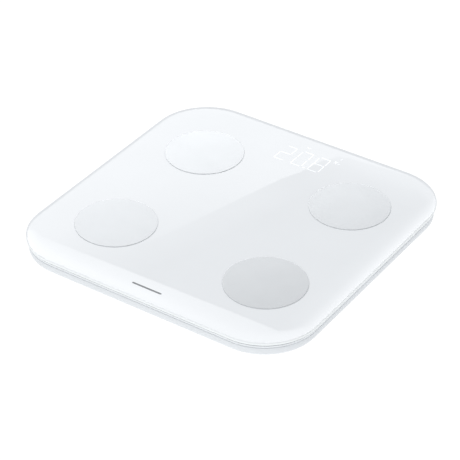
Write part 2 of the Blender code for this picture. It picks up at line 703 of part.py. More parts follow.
def add_coil(bm, start, direction):
    """A conical coil spring along X, from start, in its direction."""
    turns, steps, sides = 2.5, 7, 4
    wire = 0.35 * MM
    length = 4.0 * MM
    count = int(turns * steps)
    loops = []
    for i in range(count + 1):
        share = i / count
        angle = 2 * math.pi * turns * share
        radius = (3.6 - 1.4 * share) * MM
        outward = Vector((0, math.cos(angle), math.sin(angle)))
        middle = Vector(start) + outward * radius + Vector((direction * length * share, 0, 0))
        ring = []
        for k in range(sides):
            turn = 2 * math.pi * k / sides
            offset = outward * math.cos(turn) + Vector((1, 0, 0)) * math.sin(turn)
            ring.append(bm.verts.new(middle + offset * wire))
        loops.append(ring)
    bm.faces.new(loops[0])
    bm.faces.new(loops[-1])
    for a, b in zip(loops, loops[1:]):
        for k in range(sides):
            j = (k + 1) % sides
            bm.faces.new((a[k], a[j], b[j], b[k]))


def smooth_route(points, per_span=2):
    """Points along a Catmull-Rom curve through the route's own points."""
    ends = [2 * points[0] - points[1], *points, 2 * points[-1] - points[-2]]
    route = []
    for a, b, c, d in zip(ends, ends[1:], ends[2:], ends[3:]):
        for i in range(per_span):
            t = i / per_span
            square = (2 * a - 5 * b + 4 * c - d) * t**2
            cube = (3 * b - a - 3 * c + d) * t**3
            route.append(0.5 * (2 * b + (c - a) * t + square + cube))
    return [*route, points[-1]]


def build_lead(name, route, colour):
    """An insulated lead: a tube along a smooth curve through the route, given in millimetres."""
    points = smooth_route([Vector(p) * MM for p in route])
    curve = bpy.data.curves.new(name, "CURVE")
    curve.dimensions = "3D"
    curve.bevel_depth = LEAD_RADIUS
    curve.bevel_resolution = 1
    curve.use_fill_caps = True
    spline = curve.splines.new("POLY")
    spline.points.add(len(points) - 1)
    for spot, point in zip(spline.points, points):
        spot.co = (*point, 1)
    curve.materials.append(material("lead_" + name.split("_")[0], colour, 0.5))
    made = bpy.data.objects.new(name, curve)
    bpy.context.scene.collection.objects.link(made)


def build_leads():
    """The leads inside the body, from the cells, electrodes and battery contacts to the board."""
    for name, sx, sy in corner_signs():
        route = [(sx * x, y, z) for x, y, z in CELL_ROUTES[sy]]
        build_lead("cell_lead_" + name, route, (0.75, 0.12, 0.10))
        route = [(sx * x, y, z) for x, y, z in ELECTRODE_ROUTES[sy]]
        build_lead("electrode_lead_" + name, route, (0.85, 0.85, 0.82))
    build_lead("battery_lead_negative", NEGATIVE_ROUTE, (0.06, 0.06, 0.06))
    build_lead("battery_lead_positive", POSITIVE_ROUTE, (0.06, 0.06, 0.06))


def clear_scene():
    for made in list(bpy.data.objects):
        bpy.data.objects.remove(made)


def main():
    clear_scene()
    build_glass()
    build_electrodes()
    build_tray()
    build_base()
    build_feet()
    build_screws()
    build_electronics()
    build_battery_cover()
    build_batteries()
    build_leads()


main()
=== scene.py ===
"""The square glass bathroom scale: fine pieces, materials, light and camera around its model."""
import math

import bmesh
import bpy
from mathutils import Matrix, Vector


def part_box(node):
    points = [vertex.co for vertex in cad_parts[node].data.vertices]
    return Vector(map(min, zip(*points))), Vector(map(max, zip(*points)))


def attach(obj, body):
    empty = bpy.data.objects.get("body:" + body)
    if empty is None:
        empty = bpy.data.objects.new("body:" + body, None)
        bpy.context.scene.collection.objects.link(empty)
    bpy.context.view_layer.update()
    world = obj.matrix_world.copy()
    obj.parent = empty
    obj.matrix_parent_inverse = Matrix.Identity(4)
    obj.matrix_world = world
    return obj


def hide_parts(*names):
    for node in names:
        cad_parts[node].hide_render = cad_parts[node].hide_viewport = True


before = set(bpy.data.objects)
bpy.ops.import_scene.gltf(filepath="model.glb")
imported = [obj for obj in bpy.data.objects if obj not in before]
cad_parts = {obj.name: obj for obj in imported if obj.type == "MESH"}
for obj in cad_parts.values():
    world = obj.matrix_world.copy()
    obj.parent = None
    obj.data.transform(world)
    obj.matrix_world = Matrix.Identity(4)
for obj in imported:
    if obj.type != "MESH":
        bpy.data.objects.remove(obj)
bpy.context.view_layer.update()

MM = 0.001
# How far a cutter reaches past the piece that it cuts.
CLEAR = 1 * MM
CORNERS = {"front_left": (-1, -1), "front_right": (1, -1), "rear_left": (-1, 1), "rear_right": (1, 1)}
ARC_STEPS = 28
ROUND_STEPS = 96
SHARP_ANGLE = math.radians(32)
HOUSING = "housing"

GLASS_LOW, GLASS_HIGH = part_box("glass_platform")
HALF_SIDE = GLASS_HIGH.x
TOP_Z = GLASS_HIGH.z
CORNER_RADIUS = 54 * MM


# Shapes


def rounded_rectangle(half_x, half_y, radius, steps=ARC_STEPS, centre=(0, 0)):
    """Points round a rectangle with round corners, anticlockwise, as (x, y)."""
    points = []
    for quarter, (sx, sy) in enumerate([(1, 1), (-1, 1), (-1, -1), (1, -1)]):
        for step in range(steps + 1):
            angle = math.pi / 2 * (quarter + step / steps)
            x = centre[0] + sx * (half_x - radius) + radius * math.cos(angle)
            y = centre[1] + sy * (half_y - radius) + radius * math.sin(angle)
            points.append((x, y))
    return points


def platform_outline(inset):
    """The platform's outline, moved in by inset."""
    half = HALF_SIDE - inset
    return rounded_rectangle(half, half, CORNER_RADIUS - inset)


def circle(radius, steps=ROUND_STEPS, centre=(0, 0)):
    """Points round a circle, anticlockwise, as (x, y)."""
    angles = [2 * math.pi * i / steps for i in range(steps)]
    return [(centre[0] + radius * math.cos(a), centre[1] + radius * math.sin(a)) for a in angles]


def add_loft(bm, rings, closed=False):
    """Joins (points, z) rings in order. The ends are capped, or joined to each other if closed."""
    loops = [[bm.verts.new((x, y, z)) for x, y in points] for points, z in rings]
    pairs = list(zip(loops, loops[1:]))
    if closed:
        pairs.append((loops[-1], loops[0]))
    else:
        bm.faces.new(loops[0])
        bm.faces.new(loops[-1])
    count = len(loops[0])
    for low, high in pairs:
        for i in range(count):
            j = (i + 1) % count
            bm.faces.new((low[i], low[j], high[j], high[i]))


def add_box(bm, low, high):
    """A box from its lowest corner to its highest."""
    outline = [(low[0], low[1]), (high[0], low[1]), (high[0], high[1]), (low[0], high[1])]
    add_loft(bm, [(outline, low[2]), (outline, high[2])])


def add_soft_box(bm, low, high, edge):
    """A box with chamfered edges all round its top, bottom and sides."""
    centre = ((low[0] + high[0]) / 2, (low[1] + high[1]) / 2)
    half = ((high[0] - low[0]) / 2, (high[1] - low[1]) / 2)
    rings = []
    for inset, z in ((edge, low[2]), (0, low[2] + edge), (0, high[2] - edge), (edge, high[2])):
        outline = rounded_rectangle(half[0] - inset, half[1] - inset, edge, 3, centre)
        rings.append((outline, z))
    add_loft(bm, rings)


def add_frame(bm, outer, inner, low_z, high_z):
    """A flat ring between two outlines with the same number of points."""
    add_loft(bm, [(outer, low_z), (outer, high_z), (inner, high_z), (inner, low_z)], closed=True)


def add_lathe(bm, profile, centre=(0, 0), steps=ROUND_STEPS):
    """Turns an (r, z) profile about a vertical axis. A radius of 0 is a point on the axis."""
    loops = []
    for r, z in profile:
        points = [centre] if r == 0 else circle(r, steps, centre)
        loops.append([bm.verts.new((x, y, z)) for x, y in points])
    for low, high in zip(loops, loops[1:]):
        for i in range(steps):
            corners = [
                low[i % len(low)],
                low[(i + 1) % len(low)],
                high[(i + 1) % len(high)],
                high[i % len(high)],
            ]
            bm.faces.new(list(dict.fromkeys(corners)))


def add_cylinder(bm, centre, radius, low_z, high_z, steps=32):
    """An upright cylinder."""
    add_lathe(bm, [(0, low_z), (radius, low_z), (radius, high_z), (0, high_z)], centre, steps)


def add_tube(bm, points, radius, sides=10):
    """A round tube along points, with capped ends."""
    loops = []
    for i, point in enumerate(points):
        ahead = points[min(i + 1, len(points) - 1)] - points[max(i - 1, 0)]
        turn = ahead.to_track_quat("Z", "Y")
        ring = []
        for k in range(sides):
            angle = 2 * math.pi * k / sides
            offset = Vector((radius * math.cos(angle), radius * math.sin(angle), 0))
            ring.append(bm.verts.new(point + turn @ offset))
        loops.append(ring)
    bm.faces.new(loops[0])
    bm.faces.new(loops[-1])
    for a, b in zip(loops, loops[1:]):
        for k in range(sides):
            j = (k + 1) % sides
            bm.faces.new((a[k], a[j], b[j], b[k]))


def smooth_profile(points, per_span=4):
    """A Catmull-Rom curve through (a, b) points."""
    spots = [Vector(p) for p in points]
    ends = [2 * spots[0] - spots[1], *spots, 2 * spots[-1] - spots[-2]]
    curve = []
    for a, b, c, d in zip(ends, ends[1:], ends[2:], ends[3:]):
        for i in range(per_span):
            t = i / per_span
            slope = (c - a) * t
            bend = (2 * a - 5 * b + 4 * c - d) * t**2
            twist = (3 * b - a - 3 * c + d) * t**3
            curve.append(tuple(0.5 * (2 * b + slope + bend + twist)))
    curve.append(tuple(spots[-1]))
    return curve


def in_mm(*pairs):
    """Pairs given in millimetres, in metres."""
    return [(a * MM, b * MM) for a, b in pairs]


def centre_of(cad_node):
    """The middle of a CAD node's box, as (x, y)."""
    low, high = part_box(cad_node)
    return ((low.x + high.x) / 2, (low.y + high.y) / 2)


def electrode_centre(corner):
    """The middle of a corner's electrode."""
    return centre_of("electrode_" + corner)


def foot_centre(corner):
    """The middle of a corner's rubber foot."""
    return centre_of("foot_pad_" + corner)


def mesh_from(bm, name):
    """A mesh from a bmesh, with its faces turned outwards."""
    bmesh.ops.recalc_face_normals(bm, faces=bm.faces)
    mesh = bpy.data.meshes.new(name)
    bm.to_mesh(mesh)
    bm.free()
    return mesh


def add_object(name, data):
    """A new object in the scene, for a mesh, light or camera."""
    made = bpy.data.objects.new(name, data)
    bpy.context.scene.collection.objects.link(made)
    return made


def shade_smooth(mesh):
    """Smooth shading that breaks at sharp edges."""
    mesh.shade_smooth()
    mesh.set_sharp_from_angle(angle=SHARP_ANGLE)


def piece(name, bm, finish, body=HOUSING, replaces=(), place=(0, 0, 0), turn=(0, 0, 0)):
    """A shown piece that rides on a body and may stand for CAD nodes."""
    made = add_object(name, mesh_from(bm, name))
    made.data.materials.append(finish)
    shade_smooth(made.data)
    made.location = place
    made.rotation_euler = turn
    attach(made, body)
    if replaces:
        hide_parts(*replaces)
    return made


def cut(target, bm, operation="DIFFERENCE"):
    """Cuts a bmesh from a piece, or joins it on, and applies the result to the mesh."""
    tool = add_object("tool", mesh_from(bm, "tool"))
    modifier = target.modifiers.new("cut", "BOOLEAN")
    modifier.operation = operation
    modifier.object = tool
    bpy.context.view_layer.update()
    evaluated = target.evaluated_get(bpy.context.evaluated_depsgraph_get())
    old = target.data
    target.data = bpy.data.meshes.new_from_object(evaluated)
    target.modifiers.clear()
    bpy.data.meshes.remove(old)
    bpy.data.objects.remove(tool)
    shade_smooth(target.data)


# Materials


def new_material(name, colour, roughness, metallic=0.0, **sockets):
    """A Principled material, and its shader node."""
    made = bpy.data.materials.new(name)
    made.use_nodes = True
    shader = made.node_tree.nodes["Principled BSDF"]
    shader.inputs["Base Color"].default_value = (*colour, 1)
    shader.inputs["Roughness"].default_value = roughness
    shader.inputs["Metallic"].default_value = metallic
    for socket, value in sockets.items():
        shader.inputs[socket.replace("_", " ")].default_value = value
    return made, shader


def node(material, kind, **inputs):
    """A new node in a material, with values for its inputs."""
    made = material.node_tree.nodes.new(kind)
    for key, value in inputs.items():
        made.inputs[key.replace("_", " ")].default_value = value
    return made


def link(material, start, end):
    """Joins one node's output to another's input."""
    material.node_tree.links.new(start, end)


def object_axes(material):
    """The object's own X, Y and Z, as three outputs."""
    split = node(material, "ShaderNodeSeparateXYZ")
    link(material, node(material, "ShaderNodeTexCoord").outputs["Object"], split.inputs["Vector"])
    return split.outputs


def rise(material, value, start, end):
    """0 up to start, 1 from end on and a straight line between them."""
    made = node(material, "ShaderNodeMapRange", From_Min=start, From_Max=end)
    link(material, value, made.inputs["Value"])
    return made.outputs["Result"]


def mixed(material, blend, factor, a, b):
    """Two colours blended."""
    made = material.node_tree.nodes.new("ShaderNodeMix")
    made.data_type = "RGBA"
    made.blend_type = blend
    made.inputs["Factor"].default_value = factor
    link(material, a, made.inputs["A"])
    link(material, b, made.inputs["B"])
    return made.outputs["Result"]


def maths(look, operation, *values):
    """A Math node's output. Each value is a number or another node's output."""
    made = look.node_tree.nodes.new("ShaderNodeMath")
    made.operation = operation
    for socket, value in zip(made.inputs, values):
        if isinstance(value, (int, float)):
            socket.default_value = value
        else:
            link(look, value, socket)
    return made.outputs["Value"]


def noise(material, scale, detail=3.0):
    """Noise over the object's own coordinates, as a 0 to 1 value."""
    place = node(material, "ShaderNodeTexCoord")
    made = node(material, "ShaderNodeTexNoise", Scale=scale, Detail=detail)
    link(material, place.outputs["Object"], made.inputs["Vector"])
    return made.outputs["Fac"]


def ramp(material, factor, stops, interpolation="LINEAR"):
    """A colour ramp over factor, from (position, colour) stops."""
    made = material.node_tree.nodes.new("ShaderNodeValToRGB")
    made.color_ramp.interpolation = interpolation
    bands = made.color_ramp.elements
    while len(bands) < len(stops):
        bands.new(0.5)
    for band, (position, colour) in zip(bands, stops):
        band.position = position
        band.color = (*colour, 1)
    link(material, factor, made.inputs["Fac"])
    return made.outputs["Color"]


def vary_colour(material, shader, low, high, scale):
    """The base colour drifts between low and high."""
    drift = ramp(material, noise(material, scale), [(0.3, low), (0.7, high)])
    link(material, drift, shader.inputs["Base Color"])


def vary_roughness(material, shader, low, high, scale):
    """The roughness drifts between about low and high."""
    span = high - low
    drift = maths(material, "MULTIPLY_ADD", noise(material, scale), span * 1.5, low - span / 4)
    link(material, drift, shader.inputs["Roughness"])


def add_bump(material, shader, height, depth, strength=1.0):
    """Bump from a 0 to 1 height, depth metres deep."""
    bump = node(material, "ShaderNodeBump", Strength=strength, Distance=depth)
    link(material, height, bump.inputs["Height"])
    link(material, bump.outputs["Normal"], shader.inputs["Normal"])


def shade(colour, factor):
    """A colour made darker by a factor below 1."""
    return tuple(c * factor for c in colour)


def moulded_plastic(name, colour, roughness=0.42, grain=2600):
    """Injection-moulded plastic: spark-eroded grain and faint flow marks."""
    made, shader = new_material(name, colour, roughness, Specular_IOR_Level=0.4)
    vary_colour(made, shader, shade(colour, 0.985), colour, 14)
    vary_roughness(made, shader, roughness - 0.05, roughness + 0.07, 60)
    add_bump(made, shader, noise(made, grain, 2.0), 0.006 * MM, 0.5)
    return made


def tray_plastic():
    """The tray's white plastic, painted lighter than the base's to offset the shade under the glass's
    overhang. Its top, under the glass, is painted dark as shade in the gap below the glass.
    """
    # The white is a lighter copy of the base's plastic, as painted light. The dark grey is painted shade.
    white, painted_shade = (0.86, 0.885, 0.91), (0.2, 0.21, 0.22)
    made = moulded_plastic("tray_plastic", white)
    base = made.node_tree.nodes["Principled BSDF"].inputs["Base Color"]
    # Painted shade: above 18.15 mm, in the gap under the glass, the tray turns dark grey.
    shade_mask = rise(made, object_axes(made)["Z"], 18.15 * MM, 18.25 * MM)
    wash = ramp(made, shade_mask, [(0.0, white), (1.0, painted_shade)])
    link(made, mixed(made, "MIX", 0.9, base.links[0].from_socket, wash), base)
    return made


def satin_metal(name, colour, roughness, grain, depth, metallic=1.0):
    """Bead-blasted or plated metal with a fine even grain, depth millimetres deep."""
    made, shader = new_material(name, colour, roughness, metallic)
    vary_colour(made, shader, shade(colour, 0.97), colour, 40)
    vary_roughness(made, shader, roughness - 0.03, roughness + 0.05, 240)
    add_bump(made, shader, noise(made, grain, 2.0), depth * MM, 0.6)
    return made


def glass_material():
    """Clear glass over a blue-white back print. The bare edge is a little greener, as glass is, and
    painted lighter for the light that real glass carries to its edge.
    """
    made, shader = new_material(
        "white_glass", (0.84, 0.87, 0.9), 0.35, Specular_IOR_Level=0.0, Coat_Weight=1.0,
        Coat_Roughness=0.0, Coat_IOR=1.5,
    )
    # Painted light: towards the edge the colour turns greener, as glass does, and lighter, as a painted
    # glow.
    lit_green_edge, back_print = (0.93, 0.965, 0.975), (0.845, 0.864, 0.886)
    height = rise(made, object_axes(made)["Z"], TOP_Z - 1.4 * MM, TOP_Z - 0.5 * MM)
    tint = ramp(made, height, [(0.0, lit_green_edge), (1.0, back_print)])
    cloud = ramp(made, noise(made, 22), [(0.3, (0.985, 0.985, 0.985)), (0.7, (1, 1, 1))])
    link(made, mixed(made, "MULTIPLY", 1.0, tint, cloud), shader.inputs["Base Color"])
    vary_roughness(made, shader, 0.3, 0.4, 90)
    return made


def rubber_material():
    """Grey rubber with a fine grain."""
    made, shader = new_material("grey_rubber", (0.42, 0.43, 0.44), 0.8, Specular_IOR_Level=0.25)
    vary_colour(made, shader, (0.37, 0.38, 0.39), (0.44, 0.45, 0.46), 120)
    add_bump(made, shader, noise(made, 1800, 4.0), 0.05 * MM, 0.6)
    return made


def circuit_material():
    """Solder resist with the lighter lines of the copper tracks under it."""
    made, shader = new_material("circuit_board", (0.03, 0.2, 0.1), 0.35, Coat_Weight=0.4)
    tracks = node(made, "ShaderNodeTexBrick", Scale=120.0, Mortar_Size=0.06)
    tracks.offset = 0.35
    tracks.inputs["Color1"].default_value = (0.02, 0.15, 0.07, 1)
    tracks.inputs["Color2"].default_value = (0.025, 0.17, 0.08, 1)
    tracks.inputs["Mortar"].default_value = (0.06, 0.3, 0.13, 1)
    place = node(made, "ShaderNodeTexCoord").outputs["Object"]
    link(made, place, tracks.inputs["Vector"])
    link(made, tracks.outputs["Color"], shader.inputs["Base Color"])
    add_bump(made, shader, tracks.outputs["Fac"], 0.03 * MM, 0.5)
    return made


def battery_material():
    """A printed sleeve: dark body, a pale band at the raised end and a thin line between them."""
    made, shader = new_material("battery_jacket", (0.1, 0.12, 0.15), 0.3, 0.3, Coat_Weight=0.5)
    along = rise(made, object_axes(made)["Z"], -22.3 * MM, 22.3 * MM)
    dark, line, pale = (0.035, 0.05, 0.075), (0.8, 0.82, 0.85), (0.28, 0.36, 0.45)
    bands = [(0.0, line), (0.03, dark), (0.72, line), (0.74, pale), (0.95, line)]
    link(made, ramp(made, along, bands, "CONSTANT"), shader.inputs["Base Color"])
    vary_roughness(made, shader, 0.25, 0.36, 300)
    return made


def lit_material():
    """White segments, lit from behind."""
    made, shader = new_material("lit_segment", (0.95, 0.97, 1.0), 0.3, Emission_Strength=0.25)
    glow = ramp(made, noise(made, 500), [(0.3, (0.94, 0.97, 1.0)), (0.7, (1, 1, 1))])
    link(made, glow, shader.inputs["Emission Color"])
    return made


def insulation(name, colour):
    """The soft sleeve of a lead."""
    made, shader = new_material(name, colour, 0.45)
    vary_colour(made, shader, shade(colour, 0.85), colour, 350)
    add_bump(made, shader, noise(made, 1500), 0.03 * MM, 0.4)
    return made


GLASS = glass_material()
PLASTIC = moulded_plastic("white_plastic", (0.80, 0.83, 0.86))
ELECTRODE = satin_metal("electrode_steel", (0.74, 0.762, 0.785), 0.2, 1800, 0.0015, 0.35)
TRAY_PLASTIC = tray_plastic()
RUBBER = rubber_material()
ZINC = satin_metal("zinc_steel", (0.62, 0.63, 0.65), 0.3, 900, 0.02)
CELL_STEEL = satin_metal("cell_steel", (0.52, 0.53, 0.55), 0.38, 1400, 0.02)
NICKEL = satin_metal("nickel_contact", (0.72, 0.70, 0.65), 0.25, 900, 0.01)
CIRCUIT = circuit_material()
GUIDE = moulded_plastic("guide_plastic", (0.86, 0.86, 0.86), 0.5, 900)
FILM = moulded_plastic("diffuser_film", (0.85, 0.87, 0.88), 0.6, 4000)
BLACK = moulded_plastic("black_plastic", (0.03, 0.03, 0.032), 0.4, 1200)
BUTTON = moulded_plastic("button_plastic", (0.45, 0.47, 0.49), 0.45, 1800)
FOAM = moulded_plastic("foam_tape", (0.62, 0.64, 0.65), 0.9, 1200)
BATTERY = battery_material()
LIT = lit_material()
LEADS = {
    "red": insulation("lead_red", (0.55, 0.04, 0.03)),
    "white": insulation("lead_white", (0.72, 0.72, 0.68)),
    "black": insulation("lead_black", (0.025, 0.025, 0.028)),
}
MARK = moulded_plastic("grey_print", (0.2, 0.21, 0.22), 0.5, 3000)


# The top


# Side profiles are (distance in from the platform's outline, height).
GLASS_CROWN = in_mm((14, 23.5), (9, 23.46), (4.5, 23.34), (1.4, 23.12))
GLASS_NOSE = in_mm((1.4, 23.12), (0.55, 22.92), (0.12, 22.55), (0, 22.1))
GLASS_FOOT = in_mm((0, 20.75), (0.1, 20.4), (0.3, 20.12), (0.6, 20.0))
STUD_RADIUS = 2 * MM
DISC_LIP = 0.32 * MM
DISC_GAP = 0.1 * MM


def build_glass():
    """The platform: flat in the middle, crowned near its edge, with a rounded edge that overhangs."""
    side = smooth_profile(GLASS_CROWN)[:-1] + smooth_profile(GLASS_NOSE, 3) + GLASS_FOOT
    bm = bmesh.new()
    add_loft(bm, [(platform_outline(inset), z) for inset, z in side])
    made = piece("glass_top", bm, GLASS, replaces=["glass_platform"])
    drill = bmesh.new()
    for corner in CORNERS:
        add_cylinder(drill, electrode_centre(corner), 3.5 * MM, GLASS_LOW.z - CLEAR, TOP_Z + CLEAR)
    cut(made, drill)


def build_electrodes():
    """Thin discs with a rolled rim, each in one piece with its stud."""
    low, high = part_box("electrode_front_right")
    radius = (high.x - low.x) / 2
    face = [(0, high.z), (radius * 0.5, high.z), (radius - DISC_LIP * 2, high.z)]
    rim = [
        (radius - DISC_LIP * (1 - math.sin(a)), high.z - DISC_LIP * (1 - math.cos(a)))
        for a in (math.pi / 2 * i / 6 for i in range(7))
    ]
    under_z = TOP_Z + DISC_GAP
    under = [(radius, under_z), (STUD_RADIUS, under_z), (STUD_RADIUS, low.z), (0, low.z)]
    for corner in CORNERS:
        bm = bmesh.new()
        add_lathe(bm, face + rim + under, electrode_centre(corner), 128)
        name = "electrode_" + corner
        piece(name + "_disc", bm, ELECTRODE, replaces=[name])


# The display


DIGIT_Y = 113 * MM
DIGIT_X = 2.4 * MM
DIGIT_PITCH = 18.6 * MM
DIGIT_WIDTH = 11.3 * MM
DIGIT_HEIGHT = 24 * MM
DIGIT_STROKE = 0.7 * MM
DIGIT_GAP = 1.5 * MM
POINT_X = 11.4 * MM
POINT_RADIUS = 0.9 * MM
ICON_STROKE = 0.5 * MM
# A small v above the digits, and a cross with a dash and an upright dash beside them, in millimetres.
ICON_LINES = [
    ((-4.4, 133.8), (-2.2, 131.4)),
    ((-2.2, 131.4), (-0.2, 133.4)),
    ((30.6, 123.4), (34.4, 126.8)),
    ((31.0, 127.4), (33.6, 123.0)),
    ((35.2, 123.6), (37.0, 125.2)),
    ((33.7, 131.0), (34.7, 134.2)),
]
PRINT_LOW = TOP_Z + 0.004 * MM
PRINT_HIGH = TOP_Z + 0.03 * MM
MARK_HALF = (15.5 * MM, 1.0 * MM)
MARK_Y = -134.6 * MM
SEGMENTS = {"2": "abged", "0": "abcdef", "8": "abcdefg"}


def add_print(bm, outline):
    """A thin flat print on the glass."""
    add_loft(bm, [(outline, PRINT_LOW), (outline, PRINT_HIGH)])


def add_bar(bm, start, end, width):
    """A flat bar with pointed ends between two points of the glass."""
    a, b = Vector(start), Vector(end)
    along = (b - a).normalized()
    across = Vector((-along.y, along.x)) * width / 2
    tip = along * width / 2
    add_print(bm, [a, a + tip - across, b - tip - across, b, b - tip + across, a + tip + across])


def add_digit(bm, digit, centre_x):
    """A seven-segment digit. Each segment has its two ends, then the gap left at each."""
    x, y, gap = DIGIT_WIDTH / 2, DIGIT_HEIGHT / 2, DIGIT_GAP
    segments = {
        "a": ((-x, y), (x, y), gap, 0),
        "b": ((x, y), (x, 0), 0, gap),
        "c": ((x, 0), (x, -y), 0, gap),
        "d": ((-x, -y), (x, -y), 0, gap),
        "e": ((-x, 0), (-x, -y), gap / 2, 0),
        "f": ((-x, y), (-x, 0), gap, gap / 2),
        "g": ((-x, 0), (x, 0), 0, 0),
    }
    centre = Vector((centre_x, DIGIT_Y))
    for key in SEGMENTS[digit]:
        start, end, start_gap, end_gap = segments[key]
        start, end = Vector(start), Vector(end)
        along = (end - start).normalized()
        ends = (centre + start + along * start_gap, centre + end - along * end_gap)
        add_bar(bm, *ends, DIGIT_STROKE)


def build_display():
    """The lit weight, its decimal point and plain icons, just proud of the glass."""
    bm = bmesh.new()
    for place, digit in enumerate("208"):
        add_digit(bm, digit, DIGIT_X + (place - 1) * DIGIT_PITCH)
    point = (POINT_X, DIGIT_Y - DIGIT_HEIGHT / 2)
    add_cylinder(bm, point, POINT_RADIUS, PRINT_LOW, PRINT_HIGH, 24)
    piece("display_digits", bm, LIT)
    icons = bmesh.new()
    for start, end in ICON_LINES:
        add_bar(icons, Vector(start) * MM, Vector(end) * MM, ICON_STROKE)
    piece("display_icons", icons, LIT)


def build_mark():
    """A slim plain bar printed near the front edge."""
    bm = bmesh.new()
    add_print(bm, rounded_rectangle(*MARK_HALF, MARK_HALF[1], 8, (0, MARK_Y)))
    piece("front_bar", bm, MARK)


# The housing


SCREW_NAMES = [f"body_screw_{i}" for i in range(1, 7)]
COVER_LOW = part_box("battery_cover")[0]
BASE_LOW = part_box("base_shell")[0]
TRAY_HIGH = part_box("top_tray")[1]
TUB_Y = -5 * MM
FLOOR_Z = 6 * MM
# Where posts and ribs start, so that they run into the floor.
SUNK_Z = FLOOR_Z - 0.5 * MM
TRAY_PLATE_Z = 17.7 * MM
SEAM_Z = 16.5 * MM
RIB_HALF = 0.8 * MM
RIB_TOP_Z = 9 * MM
COVER_TOP_Z = 5.5 * MM
COVER_HALF = (28.7 * MM, 24.7 * MM)
COVER_CORNER = 3 * MM
COVER_FRONT = TUB_Y - COVER_HALF[1]
COVER_REAR = TUB_Y + COVER_HALF[1]
HINGE_X = (-16 * MM, 16 * MM)
GAP = 0.3 * MM
MOUTH_EDGE = 0.4 * MM
TRAY_SHOULDER = in_mm((4.2, 19.4), (4.2, 18.2), (2.1, 18.2), (1.85, 18.12), (1.73, 17.95), (1.7, 17.7))
TRAY_SKIRT = in_mm(
    (1.7, 16.75), (1.76, 16.58), (1.95, 16.5), (3.2, 16.5), (3.2, 17.3), (6.0, 17.3), (6.0, 17.7)
)
BASE_SIDE = in_mm((14, 4.0), (10.5, 4.45), (7, 5.6), (4, 7.7), (2.5, 9.2), (1.95, 10.9), (1.7, 13.2))
BASE_RIM = in_mm((1.7, 15.76), (1.76, 15.92), (1.95, 16.0))
BASE_TONGUE = in_mm((3.5, 16.0), (3.5, 16.8), (3.7, 17.0), (4.5, 17.0), (4.7, 16.8), (4.7, 14.0))
BASE_INSIDE = in_mm((4.7, 11.5), (5.0, 9.8), (7.8, 7.6), (14, 6.0))


def join_ribs(made, along_y, places, ends, low_z, high_z):
    """Straight ribs joined onto a shell. Places across them and the ends along them are in millimetres."""
    ribs = bmesh.new()
    along = [end * MM for end in ends]
    for place in places:
        across = (place * MM - RIB_HALF, place * MM + RIB_HALF)
        x, y = (across, along) if along_y else (along, across)
        add_box(ribs, (x[0], y[0], low_z), (x[1], y[1], high_z))
    cut(made, ribs, "UNION")


def square_frame(bm, centre, outer, inner, low_z, high_z):
    """An upright square frame. Outer and inner are (half side, corner radius) in millimetres."""
    outlines = []
    for half, radius in (outer, inner):
        outlines.append(rounded_rectangle(half * MM, half * MM, radius * MM, 6, centre))
    add_frame(bm, *outlines, low_z, high_z)


def build_tray():
    """The tray: a plate with a softened shoulder, a skirt, screw posts and the load cells' pads."""
    bm = bmesh.new()
    add_loft(bm, [(platform_outline(inset), z) for inset, z in TRAY_SHOULDER + TRAY_SKIRT])
    made = piece("tray_shell", bm, TRAY_PLASTIC, replaces=["top_tray"])
    sunk = TRAY_PLATE_Z + 0.2 * MM
    posts = bmesh.new()
    for name in SCREW_NAMES:
        add_cylinder(posts, centre_of(name), 3.5 * MM, 12.0 * MM, sunk)
    for corner in CORNERS:
        square_frame(posts, foot_centre(corner), (19, 6), (15, 4), 13.8 * MM, sunk)
    cut(made, posts, "UNION")
    join_ribs(made, True, (-60, 60), (-115, 80), SEAM_Z, sunk)
    join_ribs(made, False, (-60, 45), (-115, 115), SEAM_Z, sunk)
    holes = bmesh.new()
    for name in SCREW_NAMES:
        add_cylinder(holes, centre_of(name), 1.5 * MM, 11 * MM, 16.6 * MM)
    above = TRAY_HIGH.z + CLEAR
    for corner in CORNERS:
        add_cylinder(holes, electrode_centre(corner), 2.6 * MM, 16 * MM, above)
    low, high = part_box("display_light_guide")
    room = 1 * MM
    add_box(holes, (low.x - room, low.y - room, 16 * MM), (high.x + room, high.y + room, above))
    cut(made, holes)


def build_base():
    """The base shell, with a side that curves under and an underside with its openings chamfered."""
    outside = smooth_profile(BASE_SIDE, 3) + BASE_RIM + BASE_TONGUE
    bm = bmesh.new()
    profile = outside + smooth_profile(BASE_INSIDE, 3)
    add_loft(bm, [(platform_outline(inset), z) for inset, z in profile])
    made = piece("base_housing", bm, PLASTIC, replaces=["base_shell"])
    add_base_posts(made)
    add_base_ribs(made)
    cut_battery_space(made)
    cut_base_openings(made)


def add_base_posts(made):
    """The screw posts, the walls of the foot wells and the four pins that the board sits on."""
    posts = bmesh.new()
    for name in SCREW_NAMES:
        add_cylinder(posts, centre_of(name), 4.2 * MM, SUNK_Z, 11.7 * MM)
    for corner in CORNERS:
        square_frame(posts, foot_centre(corner), (21.7, 8), (20.2, 6.5), SUNK_Z, 13.2 * MM)
    column = [(0, SUNK_Z), (2.6 * MM, SUNK_Z)] + in_mm((2.6, 11.1))
    pin = in_mm((1.3, 11.1), (1.3, 13.3), (1.0, 13.6), (0, 13.6))
    for x in (-44 * MM, 44 * MM):
        for y in (92 * MM, 132 * MM):
            add_lathe(posts, column + pin, (x, y), 24)
    cut(made, posts, "UNION")


def add_base_ribs(made):
    """The floor's ribs, the pad round the battery space and the tub that holds the cells."""
    join_ribs(made, True, (-60, 60), (-120, 120), SUNK_Z, RIB_TOP_Z)
    join_ribs(made, False, (-60, 50), (-120, 120), SUNK_Z, RIB_TOP_Z)
    pad = bmesh.new()
    add_box(pad, (-31 * MM, -35 * MM, 5 * MM), (31 * MM, 31 * MM, 7.3 * MM))
    cut(made, pad, "UNION")
    tub = bmesh.new()
    add_box(tub, (-27.5 * MM, TUB_Y - 23.8 * MM, SUNK_Z), (27.5 * MM, TUB_Y + 23.8 * MM, 17.5 * MM))
    cut(made, tub, "UNION")


